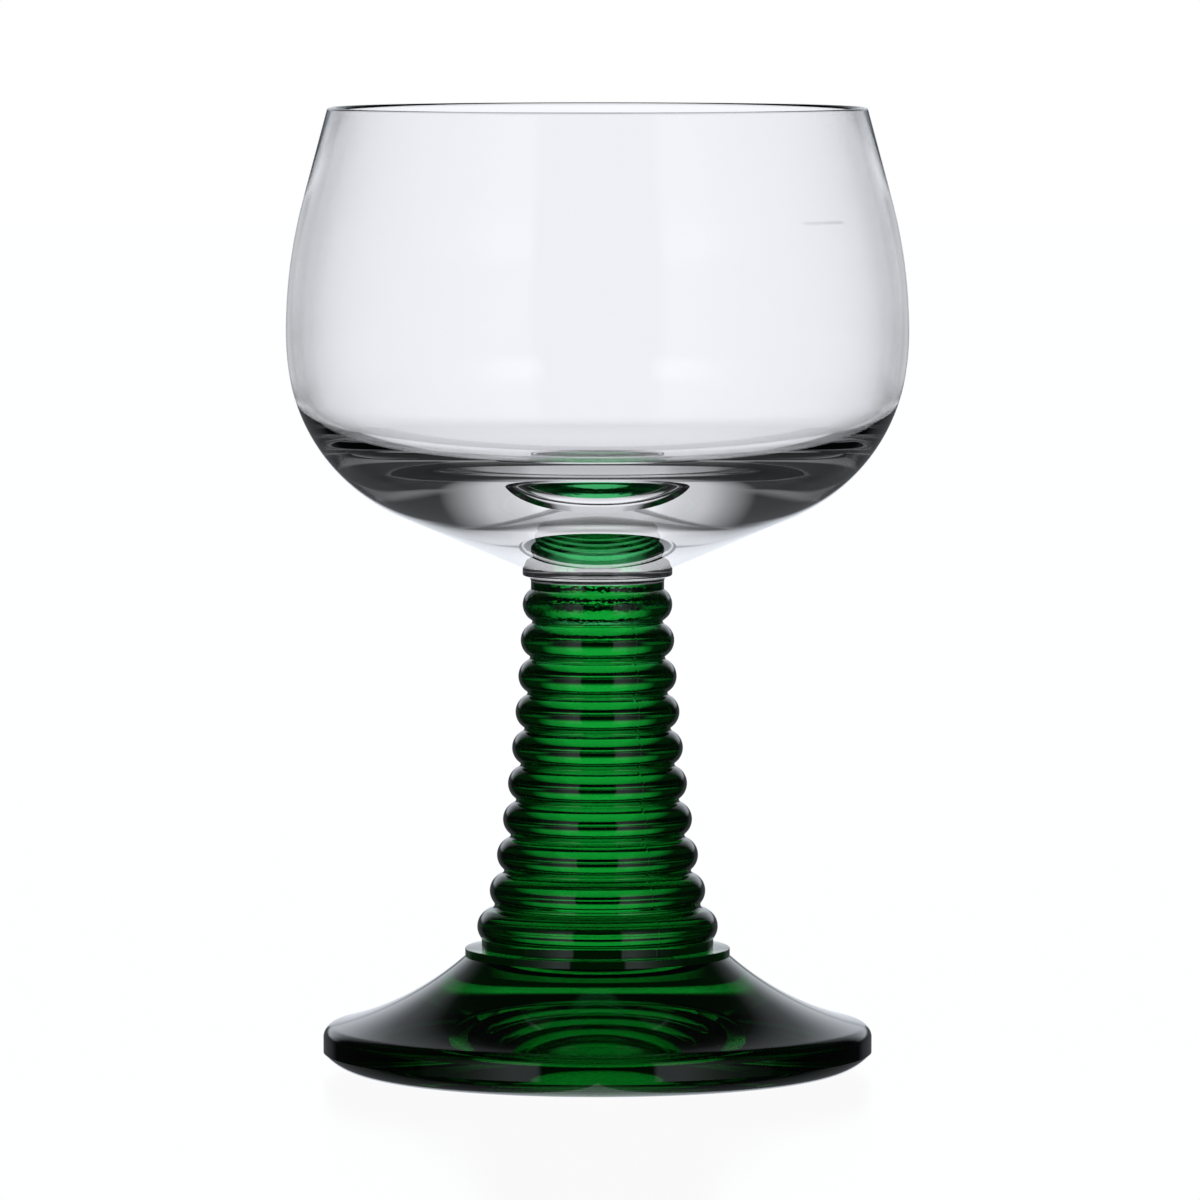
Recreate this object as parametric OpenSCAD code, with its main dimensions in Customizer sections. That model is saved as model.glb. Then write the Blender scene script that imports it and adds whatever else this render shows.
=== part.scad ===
// Roemer wine glass: a clear bowl on a clear collar, a solid green stem of stacked beads
// and a flared green foot. The four pieces are turned bodies, fused end to end on one axis.
// Millimetres, +Z up, origin in the middle of the ring that the foot stands on.

/* [Foot] */
// Radius of the foot's rim
foot_r = 40; // [34:0.5:48]
// Outer radius of the ring that the foot stands on
rest_r = 35.6; // [31:0.2:38]
// Inner radius of that ring, where the hollow underneath begins
hollow_r = 33.4; // [26:0.2:34.4]
// Depth of the hollow in the middle
hollow_depth = 2.5; // [0.5:0.1:3.6]
// Height of the mould line where the rim's wall meets its undercut
mould_line_h = 2.6; // [1.6:0.1:4]
// Bulge radius of the undercut below the mould line
undercut_round = 8; // [5:0.5:20]
// Height of the rim's upright wall above the mould line
rim_wall_h = 2.1; // [1:0.1:3.5]
// Rounding between the rim's wall and the sloping top
rim_round = 1.8; // [0.8:0.1:3]
// Slope of the foot's top next to the rim, in degrees
slope_low = 13.7; // [8:0.1:20]
// Slope of the foot's top under the ledge, in degrees
slope_high = 41.4; // [32:0.1:50]
// Radius of the ledge that carries the stem
ledge_r = 19.3; // [18:0.1:22]
// Height of the ledge's wall
ledge_h = 1.2; // [0.6:0.1:2.5]

/* [Stem] */
// Height of the stem from the ledge to the collar
stem_h = 53.4; // [40:0.2:70]
// Number of beads
bead_count = 10; // [6:1:12]
// Outside radius of the top bead
top_bead_r = 10.9; // [10.3:0.1:13]
// Outside radius that the flare reaches at the lowest bead
low_bead_r = 17; // [14:0.1:17.5]
// How much further the lowest bead stands out
heel_extra = 0.55; // [0:0.05:0.9]
// How late the flare widens: 0.1 is nearly straight
flare_bend = 1.68; // [0.1:0.02:3]
// Section radius of a bead
bead_round = 2.7; // [1.8:0.1:3]
// Depth of the grooves between the beads
groove_depth = 1.5; // [0.6:0.1:2]
// Height of the plain neck, from the middle of the top bead to the collar
neck_h = 3.3; // [2:0.1:6]
// Height of the middle of the lowest bead above the ledge
heel_h = 3.1; // [2:0.1:5]
// Radius of the heel that meets the ledge
heel_r = 16.9; // [15:0.1:17.8]

/* [Collar] */
// Radius of the neck, where the clear glass is fused to the green
neck_r = 9.7; // [8.6:0.1:10.4]
// Radius of the collar
collar_r = 10.9; // [10.6:0.1:12.5]
// Height of the collar
collar_h = 2.1; // [1.5:0.1:4]

/* [Bowl] */
// Height of the bowl from the collar to the lip
bowl_h = 66.8; // [60:0.2:80]
// Outside radius of the bowl where it is widest
belly_r = 45.25; // [41:0.25:50]
// Slope of the bowl's underside next to the collar, in degrees
base_slope = 23; // [18:0.5:28]
// Outside radius of curvature of the hip, between underside and belly
hip_round = 26.9; // [22:0.1:30]
// Steepness at which the hip passes into the belly, in degrees
hip_end = 81; // [74:0.5:87]
// Outside radius of curvature of the belly below its widest place
belly_under = 39; // [28:0.5:60]
// Outside radius of curvature of the belly above its widest place
belly_over = 75; // [55:1:100]
// Lean of the straight flank below the lip, in degrees
flank_lean = 15; // [8:0.5:20]
// Thickness of the wall
wall_t = 1; // [0.7:0.05:2]
// Thickness of the glass under the middle of the bowl's floor
floor_t = 8.8; // [5:0.1:12]
// Drop below the widest place over which the inner wall follows the outside
wall_drop = 9; // [0.5:0.1:10]
// Radius of curvature inside the hip
inner_hip = 13.5; // [12:0.1:20]

/* [Hidden] */
$fn = 128;
// How far the short straight runs of a turned curve lie off the true arc, at most
curve_sag = 0.01;

clear_glass = [0.93, 0.95, 0.96, 0.35];
green_glass = [0.02, 0.36, 0.10, 0.75];

function on_arc(mid, round, angle) = mid + round * [cos(angle), sin(angle)];
// Points of an arc between its two ends, which the profile names itself
function arc(mid, round, from, to) =
    let (steps = ceil(abs(to - from) / (2 * acos(1 - curve_sag / round))))
    [for (step = [1 : 1 : steps - 1]) on_arc(mid, round, from + (to - from) * step / steps)];
function angle_at(mid, point) = atan2(point[1] - mid[1], point[0] - mid[0]);

// Foot: the concave top is an arc between the ledge's wall and the rim's rounding
rim_wall_top = mould_line_h + rim_wall_h;
rim_mid = [foot_r - rim_round, rim_wall_top];
slope_end = on_arc(rim_mid, rim_round, 90 - slope_low);
flare_round = (slope_end[0] - ledge_r) / (sin(slope_high) - sin(slope_low));
flare_mid = slope_end + flare_round * [sin(slope_low), cos(slope_low)];
ledge_foot_z = flare_mid[1] - flare_round * cos(slope_high);
// Kept to a whole micron, because the stem is cut at the same height
foot_h = round((ledge_foot_z + ledge_h) * 1000) / 1000;
// Hollow underneath: a low dome that runs out level at the resting ring
hollow_steps = 16;
function hollow_point(step) = let (turn = 90 * step / hollow_steps)
    [hollow_r * step / hollow_steps, hollow_depth * cos(turn) * cos(turn)];

// Undercut: an arc from the resting ring up to the mould line
rest_edge = [rest_r, 0];
mould_edge = [foot_r, mould_line_h];
undercut_chord = norm(mould_edge - rest_edge);
undercut_reach = sqrt(undercut_round * undercut_round - undercut_chord * undercut_chord / 4);
undercut_mid = (rest_edge + mould_edge) / 2
    + undercut_reach * [-mould_line_h, foot_r - rest_r] / undercut_chord;

// Stem: beads at an even pitch, on a flare that widens towards the foot
stem_top = foot_h + stem_h;
bead_pitch = (stem_h - neck_h - heel_h) / (bead_count - 1);
function flare_r(step) = top_bead_r + (low_bead_r - top_bead_r)
    * (exp(flare_bend * step / (bead_count - 1)) - 1) / (exp(flare_bend) - 1);
function bead_r(step) = flare_r(step) + (step == bead_count - 1 ? heel_extra : 0);
function bead_z(step) = stem_top - neck_h - step * bead_pitch;

// Bowl, outside: underside cone, hip arc, belly arcs, straight flank
bowl_z = stem_top + collar_h;
lip_z = bowl_z + bowl_h;
base_run = belly_r - collar_r - hip_round * (sin(hip_end) - sin(base_slope))
    - belly_under * (1 - sin(hip_end));
hip_low = [collar_r + base_run, bowl_z + base_run * tan(base_slope)];
hip_mid = hip_low + hip_round * [-sin(base_slope), cos(base_slope)];
hip_top = on_arc(hip_mid, hip_round, hip_end - 90);
under_mid = hip_top - belly_under * [sin(hip_end), -cos(hip_end)];
belly_z = under_mid[1];
over_mid = [belly_r - belly_over, belly_z];
flank_start = on_arc(over_mid, belly_over, flank_lean);

// Lip: rounded over the whole thickness of the wall, at the end of the flank's middle line
lip_round = wall_t / 2;
flank_up = [-sin(flank_lean), cos(flank_lean)];
flank_out = [cos(flank_lean), sin(flank_lean)];
flank_mid = flank_start - lip_round * flank_out;
lip_mid = flank_mid + flank_up * (lip_z - lip_round - flank_mid[1]) / flank_up[1];

// Bowl, inside: the wall runs smoothly into the inner hip, and that into the arc of the dished floor
inside_r = belly_r - wall_t;
inner_under = belly_under - wall_t;
drop_turn = asin(wall_drop / inner_under);
inner_hip_mid = on_arc(under_mid, inner_under - inner_hip, -drop_turn);
floor_z = bowl_z + floor_t;
floor_drop = inner_hip_mid[1] - floor_z;
dish_round = (inner_hip_mid[0] * inner_hip_mid[0] + floor_drop * floor_drop - inner_hip * inner_hip)
    / (2 * (floor_drop - inner_hip));
dish_mid = [0, floor_z + dish_round];
dish_turn = angle_at(dish_mid, inner_hip_mid);

module foot() {
    color(green_glass) rotate_extrude() polygon(concat(
        [[0, foot_h]],
        [for (step = [0 : hollow_steps - 1]) hollow_point(step)],
        [[hollow_r, 0], rest_edge],
        arc(undercut_mid, undercut_round,
            angle_at(undercut_mid, rest_edge), angle_at(undercut_mid, mould_edge)),
        [mould_edge, [foot_r, rim_wall_top]],
        arc(rim_mid, rim_round, 0, 90 - slope_low),
        [slope_end],
        arc(flare_mid, flare_round, -90 - slope_low, -90 - slope_high),
        [[ledge_r, ledge_foot_z], [ledge_r, foot_h]]));
}

// Rectangle of a turned profile, from the axis out to r
module slab(r, low, high) {
    translate([0, low]) square([r, high - low]);
}

module stem() {
    grooves = [for (step = [0 : bead_count - 2])
        [flare_r(step + 0.5) - groove_depth, bead_z(step + 0.5)]];
    color(green_glass) union() {
        rotate_extrude() polygon(concat(
            [[heel_r, foot_h], [0, foot_h], [0, stem_top], [neck_r, stem_top], [neck_r, bead_z(0)]],
            grooves,
            [[heel_r, bead_z(bead_count - 1)]]));
        for (step = [0 : bead_count - 1])
            rotate_extrude() intersection() {
                translate([bead_r(step) - bead_round, bead_z(step)]) circle(bead_round);
                slab(foot_r, foot_h, stem_top);
            }
    }
}

module collar() {
    color(clear_glass) rotate_extrude() difference() {
        slab(collar_r, stem_top, bowl_z);
        translate([collar_r, stem_top]) circle(collar_r - neck_r);
    }
}

module bowl() {
    color(clear_glass) rotate_extrude() polygon(concat(
        [[0, bowl_z], [collar_r, bowl_z], hip_low],
        arc(hip_mid, hip_round, base_slope - 90, hip_end - 90),
        [hip_top],
        arc(under_mid, belly_under, hip_end - 90, 0),
        [[belly_r, belly_z]],
        arc(over_mid, belly_over, 0, flank_lean),
        [flank_start, on_arc(lip_mid, lip_round, flank_lean)],
        arc(lip_mid, lip_round, flank_lean, flank_lean + 180),
        [on_arc(lip_mid, -lip_round, flank_lean), flank_start - wall_t * flank_out],
        arc(over_mid, belly_over - wall_t, flank_lean, 0),
        [[inside_r, belly_z]],
        arc(under_mid, inner_under, 0, -drop_turn),
        [on_arc(under_mid, inner_under, -drop_turn)],
        arc(inner_hip_mid, inner_hip, -drop_turn, dish_turn),
        [on_arc(dish_mid, dish_round, dish_turn)],
        arc(dish_mid, dish_round, dish_turn, -90),
        [[0, floor_z]]));
}

foot();
stem();
collar();
bowl();
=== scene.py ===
from math import acos, asin, atan2, cos, degrees, exp, hypot, pi, radians, sin, sqrt, tan
import bmesh
import bpy
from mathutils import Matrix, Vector


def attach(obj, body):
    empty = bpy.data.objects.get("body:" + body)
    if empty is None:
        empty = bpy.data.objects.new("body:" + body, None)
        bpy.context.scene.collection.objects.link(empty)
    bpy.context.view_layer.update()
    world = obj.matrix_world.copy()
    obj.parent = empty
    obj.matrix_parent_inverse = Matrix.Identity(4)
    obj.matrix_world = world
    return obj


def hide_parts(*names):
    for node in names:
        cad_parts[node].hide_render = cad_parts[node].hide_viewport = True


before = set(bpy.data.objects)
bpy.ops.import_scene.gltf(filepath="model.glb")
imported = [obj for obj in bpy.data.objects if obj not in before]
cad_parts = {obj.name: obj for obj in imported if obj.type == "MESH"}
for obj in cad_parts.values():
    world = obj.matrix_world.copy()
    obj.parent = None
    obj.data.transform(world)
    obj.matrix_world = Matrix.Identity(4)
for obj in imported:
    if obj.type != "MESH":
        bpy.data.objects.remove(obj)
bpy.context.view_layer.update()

mm = 0.001
around = 256                     # steps of every full turn
weld = 0.0005                    # mm within which two points of a turned piece become one
level = 0.002                    # mm within which a face counts as lying in a seam
sharpFrom = 28                   # degrees between two faces from which their edge is crisp
seamGap = 0.02                   # mm between two fused faces, so that no two faces coincide
glassIor = 1.52                  # typical of soda-lime glass


def toLinear(hexColour):
    parts = [int(hexColour[i:i + 2], 16) / 255 for i in (1, 3, 5)]
    return [c / 12.92 if c <= 0.04045 else ((c + 0.055) / 1.055) ** 2.4 for c in parts] + [1.0]


white = toLinear("#FFFFFF")


def addNode(tree, kind, settings, inputs):
    node = tree.nodes.new(kind)
    for name, value in settings.items():
        setattr(node, name, value)
    for name, value in inputs.items():
        if isinstance(value, bpy.types.NodeSocket):
            tree.links.new(value, node.inputs[name])
        else:
            node.inputs[name].default_value = value
    return node


# A turned piece starts as a line of edges in the XZ plane, drawn in millimetres.
def startProfile(r, z):
    bm = bmesh.new()
    bm.verts.new((r, 0, z))
    return bm


def lineTo(bm, r, z):
    bm.verts.ensure_lookup_table()
    last = bm.verts[-1]
    made = bmesh.ops.extrude_vert_indiv(bm, verts=[last])["verts"]
    bmesh.ops.translate(bm, verts=made, vec=Vector((r, 0, z)) - last.co)


def arcTo(bm, midR, midZ, turn, steps):
    bm.verts.ensure_lookup_table()
    bmesh.ops.spin(bm, geom=[bm.verts[-1]], cent=(midR, 0, midZ), axis=(0, -1, 0),
                   angle=radians(turn), steps=steps)


def turnProfile(bm, name, fused):
    bmesh.ops.spin(bm, geom=bm.verts[:] + bm.edges[:], cent=(0, 0, 0), axis=(0, 0, 1),
                   angle=2 * pi, steps=around, use_merge=True)
    bmesh.ops.remove_doubles(bm, verts=bm.verts[:], dist=weld)
    bmesh.ops.recalc_face_normals(bm, faces=bm.faces[:])
    seam = bm.faces.layers.float.new("fused")
    for face in bm.faces:        # 1 where this glass runs on into the next piece
        face.smooth = True
        face[seam] = float(any(all(abs(v.co.z - z) < level for v in face.verts) for z in fused))
    bmesh.ops.scale(bm, verts=bm.verts[:], vec=(mm, mm, mm))
    mesh = bpy.data.meshes.new(name)
    bm.to_mesh(mesh)
    bm.free()
    mesh.set_sharp_from_angle(angle=radians(sharpFrom))
    piece = bpy.data.objects.new(name, mesh)
    bpy.context.collection.objects.link(piece)
    return piece


# Foot: pressed flare with a ledge, an upright rim, an undercut and a shallow hollow underneath
foot = {"r": 40, "restR": 35.6, "hollowR": 33.4, "hollowDepth": 2.5, "mouldLine": 2.6, "undercut": 8,
        "rimWall": 2.1, "rimRound": 1.8, "slopeLow": 13.7, "slopeHigh": 41.4,
        "ledgeR": 19.3, "ledge": 1.2, "ledgeEdge": 0.15, "seatDraft": 0.001,
        "steps": {"hollow": 32, "undercut": 14, "rim": 14, "flare": 40, "edge": 5}}


def makeFoot(s):
    low, high = radians(s["slopeLow"]), radians(s["slopeHigh"])
    rimTop = s["mouldLine"] + s["rimWall"]
    slopeR = s["r"] - s["rimRound"] + s["rimRound"] * sin(low)
    slopeZ = rimTop + s["rimRound"] * cos(low)
    flare = (slopeR - s["ledgeR"]) / (sin(high) - sin(low))
    flareR, flareZ = slopeR + flare * sin(low), slopeZ + flare * cos(low)
    top = flareZ - flare * cos(high) + s["ledge"]
    edgeR, edgeZ = s["ledgeR"] - s["ledgeEdge"], top - s["ledgeEdge"]
    chord = hypot(s["r"] - s["restR"], s["mouldLine"])
    reach = sqrt(s["undercut"] ** 2 - chord ** 2 / 4)
    underR = (s["r"] + s["restR"]) / 2 - reach * s["mouldLine"] / chord
    underZ = s["mouldLine"] / 2 + reach * (s["r"] - s["restR"]) / chord
    steps = s["steps"]
    bm = startProfile(0, s["hollowDepth"])
    for i in range(1, steps["hollow"] + 1):      # a low dome that runs out level at the resting ring
        part = i / steps["hollow"]
        lineTo(bm, s["hollowR"] * part, s["hollowDepth"] * cos(pi / 2 * part) ** 2)
    lineTo(bm, s["restR"], 0)
    arcTo(bm, underR, underZ, degrees(2 * atan2(chord / 2, reach)), steps["undercut"])
    lineTo(bm, s["r"], rimTop)
    arcTo(bm, s["r"] - s["rimRound"], rimTop, 90 - s["slopeLow"], steps["rim"])
    arcTo(bm, flareR, flareZ, s["slopeLow"] - s["slopeHigh"], steps["flare"])
    lineTo(bm, s["ledgeR"], edgeZ)
    arcTo(bm, edgeR, edgeZ, 90, steps["edge"])
    lineTo(bm, stem["heelR"], top)
    lineTo(bm, stem["heelR"] - s["seatDraft"], top - seamGap)
    lineTo(bm, 0, top - seamGap)
    return turnProfile(bm, "pressed_foot", [top - seamGap]), top


# Stem: beads on a flare, with a cove between each two
stem = {"h": 53.4, "beads": 10, "topR": 10.9, "lowR": 17, "heelExtra": 0.55, "bend": 1.68,
        "round": 2.7, "groove": 1.5, "neck": 3.3, "heel": 3.1, "heelR": 16.9,
        "steps": {"bead": 18, "cove": 8}}


def makeStem(s, low):
    top, last = low + s["h"], s["beads"] - 1
    lowFace, topFace = low + seamGap / 2, top - seamGap / 2
    pitch = (s["h"] - s["neck"] - s["heel"]) / last
    spread = (s["lowR"] - s["topR"]) / (exp(s["bend"]) - 1)
    beadR = [s["topR"] + spread * (exp(s["bend"] * i / last) - 1) for i in range(s["beads"])]
    beadR[last] += s["heelExtra"]
    mids = [Vector((r - s["round"], top - s["neck"] - i * pitch)) for i, r in enumerate(beadR)]
    steps = s["steps"]
    bm = startProfile(0, topFace)
    lineTo(bm, collar["neckR"], topFace)
    fromAngle = acos((collar["neckR"] - mids[0].x) / s["round"])
    lineTo(bm, collar["neckR"], mids[0].y + s["round"] * sin(fromAngle))
    for mid, below in zip(mids, mids[1:]):
        half = (below - mid) / 2
        cove = (s["round"] - s["groove"]) ** 2 - s["round"] ** 2 + half.length_squared
        cove /= 2 * s["groove"]
        out = Vector((-half.y, half.x)).normalized()
        coveMid = mid + half + out * sqrt((s["round"] + cove) ** 2 - half.length_squared)
        toAngle = atan2(coveMid.y - mid.y, coveMid.x - mid.x)
        arcTo(bm, mid.x, mid.y, degrees(toAngle - fromAngle), steps["bead"])
        leave = atan2(mid.y - coveMid.y, mid.x - coveMid.x)
        arrive = atan2(below.y - coveMid.y, below.x - coveMid.x)
        arcTo(bm, coveMid.x, coveMid.y, degrees(arrive - leave) % 360, steps["cove"])
        fromAngle = atan2(coveMid.y - below.y, coveMid.x - below.x)
    toAngle = -acos((s["heelR"] - mids[last].x) / s["round"])
    arcTo(bm, mids[last].x, mids[last].y, degrees(toAngle - fromAngle), steps["bead"])
    lineTo(bm, s["heelR"], lowFace)
    lineTo(bm, 0, lowFace)
    return turnProfile(bm, "beaded_stem", [topFace, lowFace]), top


# Collar: a ring with a rounded lower edge and a concave neck below it
collar = {"neckR": 9.7, "r": 10.9, "h": 2.1, "edge": 0.35, "steps": {"cove": 12, "edge": 8}}


def makeCollar(s, low):
    top = low + s["h"]
    lowFace, topFace = low + seamGap / 2, top - seamGap / 2
    edgeR, coveZ = s["r"] - s["edge"], low + seamGap
    bm = startProfile(0, lowFace)
    lineTo(bm, s["neckR"], lowFace)
    lineTo(bm, s["neckR"], coveZ)
    arcTo(bm, edgeR, coveZ, -90, s["steps"]["cove"])
    arcTo(bm, edgeR, coveZ + s["r"] - s["neckR"], 90, s["steps"]["edge"])
    lineTo(bm, s["r"], topFace)
    lineTo(bm, 0, topFace)
    return turnProfile(bm, "clear_collar", [lowFace, topFace]), top


# Bowl: a thin wall with a rounded lip, on a thick base with a dished floor
bowl = {"h": 66.8, "r": 45.25, "baseSlope": 23, "hip": 26.9, "hipEnd": 81, "under": 39, "over": 75,
        "lean": 15, "wall": 1, "floor": 8.8, "drop": 9, "innerHip": 13.5,
        "steps": {"hip": 40, "under": 8, "over": 14, "lip": 16, "drop": 10, "innerHip": 40, "dish": 30}}


def makeBowl(s, low):
    slope, hipEnd, lean = radians(s["baseSlope"]), radians(s["hipEnd"]), radians(s["lean"])
    lipZ, floorZ, lowFace = low + s["h"], low + s["floor"], low + seamGap / 2
    run = s["r"] - collar["r"] - s["hip"] * (sin(hipEnd) - sin(slope)) - s["under"] * (1 - sin(hipEnd))
    hipR, hipZ = collar["r"] + run, low + run * tan(slope)
    hipMidR, hipMidZ = hipR - s["hip"] * sin(slope), hipZ + s["hip"] * cos(slope)
    bellyZ = hipMidZ - s["hip"] * cos(hipEnd) + s["under"] * cos(hipEnd)
    overR = s["r"] - s["over"]
    flank = Vector((overR + s["over"] * cos(lean), bellyZ + s["over"] * sin(lean)))
    out, up = Vector((cos(lean), sin(lean))), Vector((-sin(lean), cos(lean)))
    lipRound = s["wall"] / 2
    middle = flank - lipRound * out
    lip = middle + up * ((lipZ - lipRound - middle.y) / up.y)

    # Inside: the wall follows the belly, then the inner hip leads into the dished floor
    underR, innerUnder = s["r"] - s["under"], s["under"] - s["wall"]
    drop = asin(s["drop"] / innerUnder)
    innerR = underR + (innerUnder - s["innerHip"]) * cos(drop)
    innerZ = bellyZ - (innerUnder - s["innerHip"]) * sin(drop)
    fall = innerZ - floorZ
    dish = (innerR ** 2 + fall ** 2 - s["innerHip"] ** 2) / (2 * (fall - s["innerHip"]))
    dropTurn, dishTurn = degrees(drop), degrees(atan2(floorZ + dish - innerZ, innerR))

    steps = s["steps"]
    bm = startProfile(0, lowFace)
    lineTo(bm, collar["r"], lowFace)
    lineTo(bm, hipR, hipZ)
    arcTo(bm, hipMidR, hipMidZ, s["hipEnd"] - s["baseSlope"], steps["hip"])
    arcTo(bm, underR, bellyZ, 90 - s["hipEnd"], steps["under"])
    arcTo(bm, overR, bellyZ, s["lean"], steps["over"])
    lineTo(bm, *(lip + lipRound * out))
    arcTo(bm, lip.x, lip.y, 180, steps["lip"])
    lineTo(bm, *(flank - s["wall"] * out))
    arcTo(bm, overR, bellyZ, -s["lean"], steps["over"])
    arcTo(bm, underR, bellyZ, -dropTurn, steps["drop"])
    arcTo(bm, innerR, innerZ, dropTurn - dishTurn, steps["innerHip"])
    arcTo(bm, 0, floorZ + dish, dishTurn - 90, steps["dish"])
    return turnProfile(bm, "clear_bowl", [lowFace]), lipZ


footPiece, footTop = makeFoot(foot)
print("foot turned", round(footTop, 3))
stemPiece, stemTop = makeStem(stem, footTop)
print("stem turned", round(stemTop, 3))
collarPiece, collarTop = makeCollar(collar, stemTop)
print("collar turned", round(collarTop, 3))
bowlPiece, lipTop = makeBowl(bowl, collarTop)
print("bowl turned", round(lipTop, 3))


def startGlass(name):
    glass = bpy.data.materials.new(name)
    glass.use_nodes = True
    tree = glass.node_tree
    shader = tree.nodes["Principled BSDF"]
    shader.inputs["Transmission Weight"].default_value = 1.0
    fused = addNode(tree, "ShaderNodeAttribute", {"attribute_name": "fused"}, {}).outputs["Fac"]
    ior = addNode(tree, "ShaderNodeMath", {"operation": "MULTIPLY_ADD"},
                  {0: fused, 1: 1 - glassIor, 2: glassIor})      # 1 at a seam: light isn't bent there
    tree.links.new(ior.outputs[0], shader.inputs["IOR"])
    where = addNode(tree, "ShaderNodeTexCoord", {}, {}).outputs["Object"]
    return glass, shader, fused, where


# Soda-lime glass, blown and fire-polished: clear with a breath of blue, long faint waves that bend what is
# seen through it, and one short etched line at the filling height, which scatters light
clear = {"colour": "#FEFEFF", "wave": 15, "waveDepth": 0.006,
         "mark": {"z": 124.1, "turn": 48.4, "long": 8.4, "thick": 0.4, "rough": 0.25}}


def makeClearGlass(s):
    glass, shader, _, where = startGlass("clear_soda_lime_fire_polished")
    tree = glass.node_tree
    shader.inputs["Base Color"].default_value = toLinear(s["colour"])
    wave = addNode(tree, "ShaderNodeTexNoise", {},
                   {"Vector": where, "Scale": 1 / (s["wave"] * mm), "Detail": 1.0})
    bump = addNode(tree, "ShaderNodeBump", {},
                   {"Strength": 1.0, "Distance": s["waveDepth"] * mm, "Height": wave.outputs[0]})
    tree.links.new(bump.outputs[0], shader.inputs["Normal"])

    mark = s["mark"]             # turned so that the line lies on +X
    turned = addNode(tree, "ShaderNodeMapping", {},
                     {"Vector": where, "Location": (0, 0, -mark["z"] * mm),
                      "Rotation": (0, 0, radians(90 - mark["turn"]))})
    axes = addNode(tree, "ShaderNodeSeparateXYZ", {}, {0: turned.outputs[0]})
    etched = addNode(tree, "ShaderNodeMath", {"operation": "GREATER_THAN"}, {0: axes.outputs[0], 1: 0.0})
    for axis, size in ((1, mark["long"]), (2, mark["thick"])):
        within = addNode(tree, "ShaderNodeMath", {"operation": "COMPARE"},
                         {0: axes.outputs[axis], 1: 0.0, 2: size / 2 * mm})
        etched = addNode(tree, "ShaderNodeMath", {"operation": "MULTIPLY"},
                         {0: etched.outputs[0], 1: within.outputs[0]})
    rough = addNode(tree, "ShaderNodeMath", {"operation": "MULTIPLY"},
                    {0: etched.outputs[0], 1: mark["rough"]})
    tree.links.new(rough.outputs[0], shader.inputs["Roughness"])
    return glass


# Soda-lime glass coloured through, pressed: bright green where light comes straight through and black where
# none does, with faint waves, the mould's two seams and wrinkles where the hot collar was set on. The
# wrinkles are drawn coarser than real ones, so that they show.
green = {"colour": "#1AC849", "depth": "#007C00", "density": 32.0, "wave": 9, "waveDepth": 0.006,
         "grain": 0.7, "grainDepth": 0.05, "grainReach": 9,
         "seamTurn": 31, "seamWide": 0.5, "seamHigh": 0.03}


def makeGreenGlass(s):
    glass, shader, fused, where = startGlass("green_soda_lime_pressed")
    tree = glass.node_tree
    shader.inputs["Roughness"].default_value = 0.0
    tint = addNode(tree, "ShaderNodeMix", {"data_type": "RGBA"},
                   {"Factor": fused, 6: toLinear(s["colour"]), 7: white})    # 6 and 7 are its two colours
    tree.links.new(tint.outputs[2], shader.inputs["Base Color"])
    depth = addNode(tree, "ShaderNodeVolumeAbsorption", {},
                    {"Color": toLinear(s["depth"]), "Density": s["density"]})
    tree.links.new(depth.outputs[0], tree.nodes["Material Output"].inputs["Volume"])

    # Heights in millimetres: waves all over, wrinkles towards the collar, a ridge down two sides of the stem
    wave, grain = [addNode(tree, "ShaderNodeTexNoise", {},
                           {"Vector": where, "Scale": 1 / (size * mm), "Detail": 1.0})
                   for size in (s["wave"], s["grain"])]
    turned = addNode(tree, "ShaderNodeMapping", {},
                     {"Vector": where, "Rotation": (0, 0, radians(90 - s["seamTurn"]))})
    axes = addNode(tree, "ShaderNodeSeparateXYZ", {}, {0: turned.outputs[0]})
    near = addNode(tree, "ShaderNodeMapRange", {},
                   {"Value": axes.outputs[2], "From Min": (stemTop - s["grainReach"]) * mm,
                    "From Max": (stemTop - s["grainReach"] / 2) * mm, "To Max": s["grainDepth"]})
    aside = addNode(tree, "ShaderNodeMath", {"operation": "ABSOLUTE"}, {0: axes.outputs[1]})
    ridge = addNode(tree, "ShaderNodeMapRange", {},
                    {"Value": aside.outputs[0], "From Min": 0.0, "From Max": s["seamWide"] / 2 * mm,
                     "To Min": s["seamHigh"], "To Max": 0.0})
    above = addNode(tree, "ShaderNodeMath", {"operation": "GREATER_THAN"},
                    {0: axes.outputs[2], 1: footTop * mm})
    onStem = addNode(tree, "ShaderNodeMath", {"operation": "MULTIPLY"},
                     {0: above.outputs[0], 1: ridge.outputs[0]})
    waved = addNode(tree, "ShaderNodeMath", {"operation": "MULTIPLY_ADD"},
                    {0: wave.outputs[0], 1: s["waveDepth"], 2: onStem.outputs[0]})
    height = addNode(tree, "ShaderNodeMath", {"operation": "MULTIPLY_ADD"},
                     {0: grain.outputs[0], 1: near.outputs[0], 2: waved.outputs[0]})
    bump = addNode(tree, "ShaderNodeBump", {},
                   {"Strength": 1.0, "Distance": mm, "Height": height.outputs[0]})
    tree.links.new(bump.outputs[0], shader.inputs["Normal"])
    return glass


clearGlass, greenGlass = makeClearGlass(clear), makeGreenGlass(green)
for piece, node, glass, slot in ((footPiece, "foot", greenGlass, "green_glass"),
                                 (stemPiece, "stem", greenGlass, "green_glass"),
                                 (collarPiece, "collar", clearGlass, "clear_glass"),
                                 (bowlPiece, "bowl", clearGlass, "clear_glass")):
    piece.data.materials.append(glass)
    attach(piece, "root")
    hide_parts(node)
print("glass set")


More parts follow.
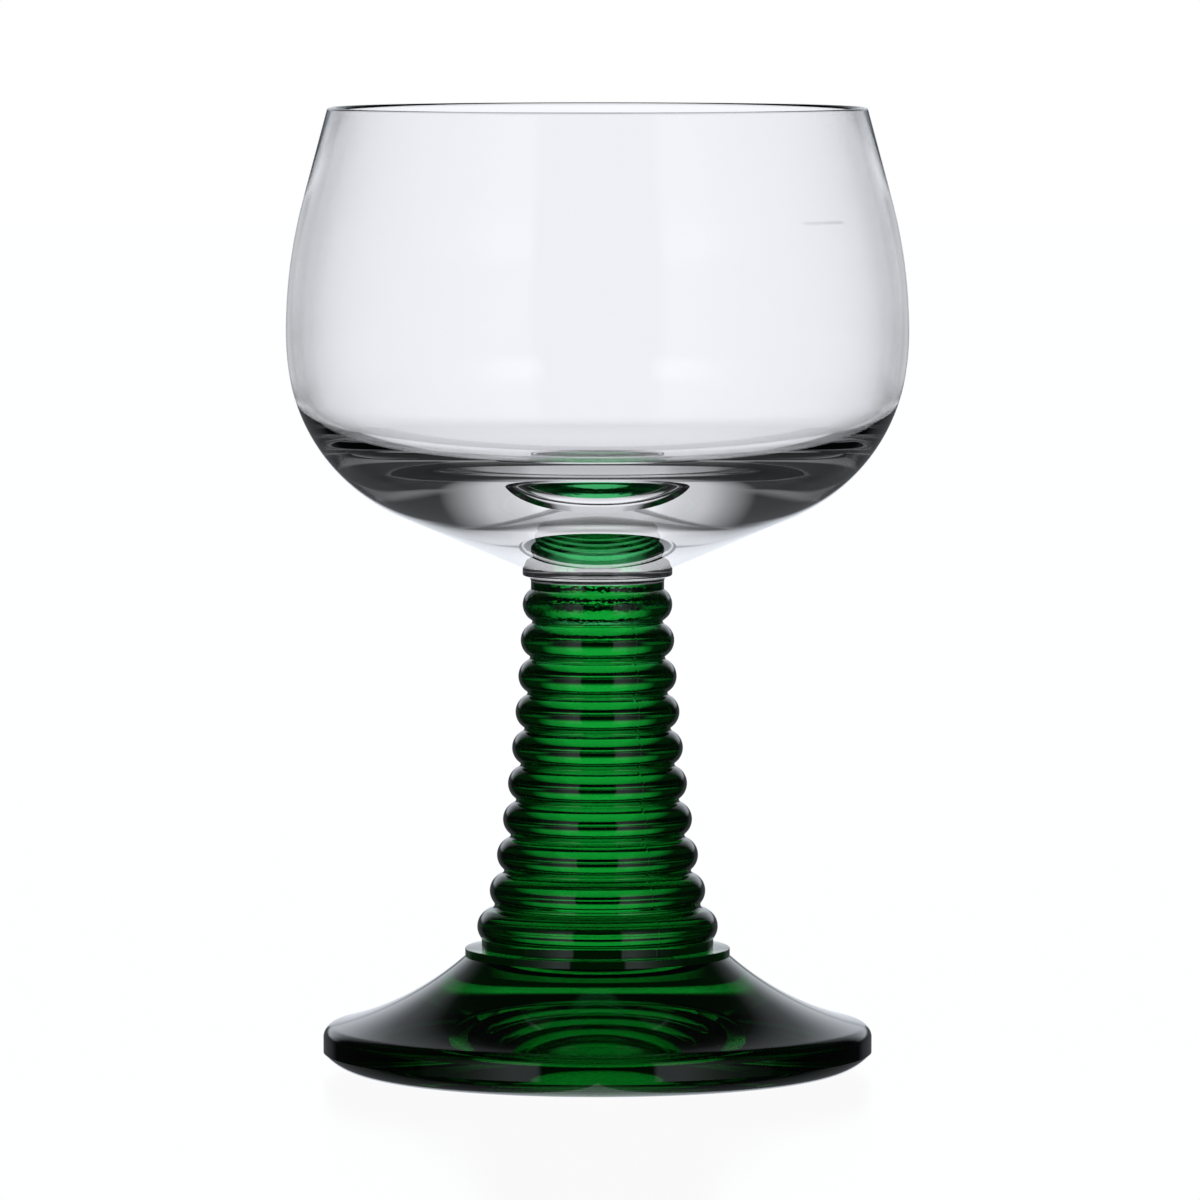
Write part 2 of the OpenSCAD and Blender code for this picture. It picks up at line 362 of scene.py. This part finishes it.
# Camera: a long lens in front of the glass, a little above the lip
camera = {"lens": 293.62, "sensor": 36, "back": 1.4200, "side": 0.000363, "height": 0.1674, "down": 3.986}
eye = bpy.data.objects.new("eye", bpy.data.cameras.new("eye"))
eye.data.lens = camera["lens"]
eye.data.sensor_width = camera["sensor"]
eye.location = (camera["side"], -camera["back"], camera["height"])
eye.rotation_euler = (radians(90 - camera["down"]), 0, 0)
bpy.context.collection.objects.link(eye)
bpy.context.scene.camera = eye

# Studio: a turntable that faces the camera carries light tents: one that the glass mirrors, one that is seen
# through it, and a small veil of cards at the bowl's height, which only adds light. Each patch of light gives
# its brightness by turn, in degrees from straight behind the glass, and by rise above the table.
frontTurn = [(100, 0), (104, 0.05), (112, 0.07), (120, 0.12), (128, 0.25), (136, 0.45), (144, 0.65),
             (155, 0.62), (157, 0)]
mirrored = {"size": 4.0, "colour": "#F1F7FF", "power": 1.0, "dim": 0.012, "patches": [
    {"turn": [(0, 1), (24, 1), (30, 0.6), (38, 0.03), (42, 0)],
     "rise": [(4, 0), (8, 1), (10, 1), (15, 0.8), (20, 0.5), (24, 0.3), (30, 0.18), (36, 0.02), (40, 0)]},
    {"turn": [(0, 1), (6, 1), (9, 0.12), (30, 0.08), (38, 0)],
     "rise": [(-90, 0.6), (-10, 1), (4, 1), (7, 0)]},
    {"turn": frontTurn,
     "rise": [(-50, 0), (-44, 0.2), (-36, 0.5), (-28, 1), (20, 1), (28, 0.4), (36, 0.15), (44, 0)]}]}
seenThrough = {"size": 4.2, "colour": "#FAFBFF", "power": 1.08, "dim": 0.012, "patches": [
    {"turn": [(0, 1), (14, 1), (17, 0.75), (21, 0.64), (25, 0.58), (30, 0.3), (36, 0.03), (60, 0.02),
              (90, 0.01)],
     "rise": [(-90, 0.55), (-50, 0.6), (-30, 0.8), (-10, 1), (3, 1), (5, 0.5), (7, 0.1), (9, 0), (24, 0),
              (27, 0.6), (48, 0.6), (58, 0)]}]}
bowlCards = {"size": 0.36, "colour": "#FAFBFF", "power": 1.0, "dim": 0.0, "patches": [
    {"turn": [(24, 0), (32, 0.22), (45, 0.18), (70, 0.13), (95, 0)],
     "rise": [(15, 0), (18, 1), (30, 1), (33, 0)]},
    {"turn": frontTurn,
     "rise": [(30, 0), (34, 1), (42, 1), (46, 0)]}]}
# The sheet glows by itself and mirrors softly. "room" is how bright the room is that it mirrors, which its
# glow leaves out. Under the foot a dim glowing disc, seen only through the glass, is painted shade in place
# of the foot's shadow. Heights are in millimetres.
studio = {"sheet": 6.0, "sheetZ": -0.02, "gloss": 0.06, "dull": 0.15, "room": 0.87,
          "shade": 0.04, "shadeZ": -0.04, "segments": 64}


def addProp(bm, name, surfaceName, parent):
    mesh = bpy.data.meshes.new(name)
    bm.to_mesh(mesh)
    bm.free()
    prop = bpy.data.objects.new(name, mesh)
    prop.parent = parent
    prop.visible_diffuse = False
    bpy.context.collection.objects.link(prop)
    surface = bpy.data.materials.new(surfaceName)
    surface.use_nodes = True
    surface.cycles.emission_sampling = "NONE"
    surface.node_tree.nodes.clear()
    mesh.materials.append(surface)
    return prop, surface.node_tree


def makeTent(name, s, table):
    bm = bmesh.new()
    segments = studio["segments"]
    bmesh.ops.create_uvsphere(bm, u_segments=segments, v_segments=segments // 2, radius=s["size"])
    tent, tree = addProp(bm, name, name + "_cloth", table)
    tent.visible_camera = tent.visible_shadow = tent.visible_volume_scatter = False
    where = addNode(tree, "ShaderNodeTexCoord", {}, {})
    way = addNode(tree, "ShaderNodeVectorMath", {"operation": "NORMALIZE"}, {0: where.outputs["Object"]})
    axes = addNode(tree, "ShaderNodeSeparateXYZ", {}, {0: way.outputs[0]})
    turn = addNode(tree, "ShaderNodeMath", {"operation": "ARCTAN2"}, {0: axes.outputs[0], 1: axes.outputs[1]})
    side = addNode(tree, "ShaderNodeMath", {"operation": "ABSOLUTE"}, {0: turn.outputs[0]})
    rise = addNode(tree, "ShaderNodeMath", {"operation": "ARCSINE"}, {0: axes.outputs[2]})
    # Both run from 0 to 1 over half a turn. Level is in the middle of the rise.
    parts = {"turn": addNode(tree, "ShaderNodeMath", {"operation": "DIVIDE"}, {0: side.outputs[0], 1: pi}),
             "rise": addNode(tree, "ShaderNodeMath", {"operation": "MULTIPLY_ADD"},
                             {0: rise.outputs[0], 1: 1 / pi, 2: 0.5})}
    total = None
    for patch in s["patches"]:
        light = None
        for key, part in parts.items():
            ramp = addNode(tree, "ShaderNodeValToRGB", {}, {"Fac": part.outputs[0]})
            stops = ramp.color_ramp.elements
            while len(stops) < len(patch[key]):
                stops.new(0.5)
            for stop, (angle, _) in zip(stops, patch[key]):
                stop.position = angle / 180 + (0.5 if key == "rise" else 0)
            for stop, (_, value) in zip(stops, patch[key]):      # once all are in place
                stop.color = (value, value, value, 1)
            light = ramp if light is None else addNode(tree, "ShaderNodeMath", {"operation": "MULTIPLY"},
                                                       {0: light.outputs[0], 1: ramp.outputs[0]})
        total = light if total is None else addNode(tree, "ShaderNodeMath", {"operation": "ADD"},
                                                    {0: total.outputs[0], 1: light.outputs[0]})
    power = addNode(tree, "ShaderNodeMath", {"operation": "MULTIPLY_ADD"},
                    {0: total.outputs[0], 1: s["power"], 2: s["dim"]})
    glow = addNode(tree, "ShaderNodeEmission", {},
                   {"Color": toLinear(s["colour"]), "Strength": power.outputs[0]})
    if s["dim"] == 0:            # a veil: what stands behind it shines through
        veil = addNode(tree, "ShaderNodeBsdfTransparent", {}, {})
        glow = addNode(tree, "ShaderNodeAddShader", {}, {0: glow.outputs[0], 1: veil.outputs[0]})
    addNode(tree, "ShaderNodeOutputMaterial", {}, {"Surface": glow.outputs[0]})
    return tent


def makeStudio(s):
    table = bpy.data.objects.new("turntable", None)
    bpy.context.collection.objects.link(table)
    follow = table.constraints.new("COPY_ROTATION")
    follow.target = eye
    follow.use_x = follow.use_y = False
    makeTent("mirrored_tent", mirrored, table).visible_transmission = False
    makeTent("seen_through_tent", seenThrough, table).visible_glossy = False
    makeTent("bowl_cards", bowlCards, table).visible_glossy = False

    # Painted shade: a dim glowing disc under the foot, seen only through the glass, stands in for the foot's
    # shadow
    bm = bmesh.new()
    bmesh.ops.create_circle(bm, cap_ends=True, segments=s["segments"], radius=foot["restR"] * mm)
    under, tree = addProp(bm, "painted_shade_disc", "painted_shade_under_foot", None)
    under.location.z = s["shadeZ"] * mm
    under.visible_camera = under.visible_glossy = False
    glow = addNode(tree, "ShaderNodeEmission", {}, {"Color": white, "Strength": s["shade"]})
    addNode(tree, "ShaderNodeOutputMaterial", {}, {"Surface": glow.outputs[0]})

    bm = bmesh.new()
    bmesh.ops.create_circle(bm, cap_ends=True, segments=s["segments"], radius=s["sheet"])
    sheet, tree = addProp(bm, "white_sheet", "white_acrylic_sheet", None)
    sheet.location.z = s["sheetZ"] * mm
    sheet.visible_transmission = sheet.visible_glossy = False
    glow = addNode(tree, "ShaderNodeEmission", {}, {"Color": white, "Strength": 1 - s["room"] * s["gloss"]})
    gloss = addNode(tree, "ShaderNodeBsdfGlossy", {},
                    {"Color": (s["gloss"], s["gloss"], s["gloss"], 1), "Roughness": s["dull"]})
    both = addNode(tree, "ShaderNodeAddShader", {}, {0: glow.outputs[0], 1: gloss.outputs[0]})
    addNode(tree, "ShaderNodeOutputMaterial", {}, {"Surface": both.outputs[0]})

    world = bpy.data.worlds.new("white_room")
    bpy.context.scene.world = world
    world.use_nodes = True
    world.node_tree.nodes["Background"].inputs["Color"].default_value = white


makeStudio(studio)
print("studio set")

# Light crosses many faces on its way through beads, base and foot
scene = bpy.context.scene
scene.view_settings.view_transform = "Standard"
scene.cycles.max_bounces = 32
scene.cycles.transmission_bounces = 32
scene.cycles.glossy_bounces = 16
scene.cycles.blur_glossy = 0.0
